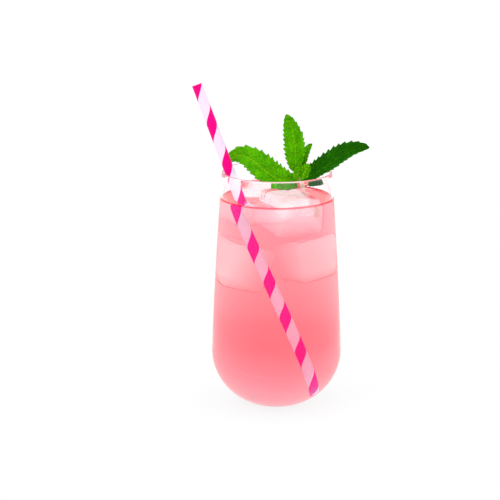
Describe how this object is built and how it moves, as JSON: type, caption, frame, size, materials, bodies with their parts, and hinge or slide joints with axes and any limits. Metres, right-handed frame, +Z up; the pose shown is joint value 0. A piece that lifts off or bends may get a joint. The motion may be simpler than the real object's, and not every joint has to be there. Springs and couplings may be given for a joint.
{
  "type": "glass of pink lemonade",
  "caption": "Tall stemless glass of pink lemonade with ice cubes at the surface, a striped paper straw leaning on the rim and a sprig of mint",
  "frame": {"origin": "centre of the glass's foot, on the surface it stands on", "axes": "+Z up along the glass's axis; -Y towards the viewer; the straw leans out over the rim towards -X"},
  "size_m": [0.1014, 0.0764, 0.1903],
  "materials": {
    "glass": "clear polished drinking glass",
    "lemonade": "clear pink drink, stands in as gloss",
    "straw": "white paper with one bright pink helical stripe",
    "ice": "wet clear ice with a whitish core",
    "mint": "quilted fresh leaf, serrated edge"
  },
  "bodies": {
    "root": {"glass": "glass", "lemonade": "lemonade", "straw": "straw", "ice_front": "ice", "ice_back": "ice", "mint_sprig": "mint"}
  },
  "joints": []
}
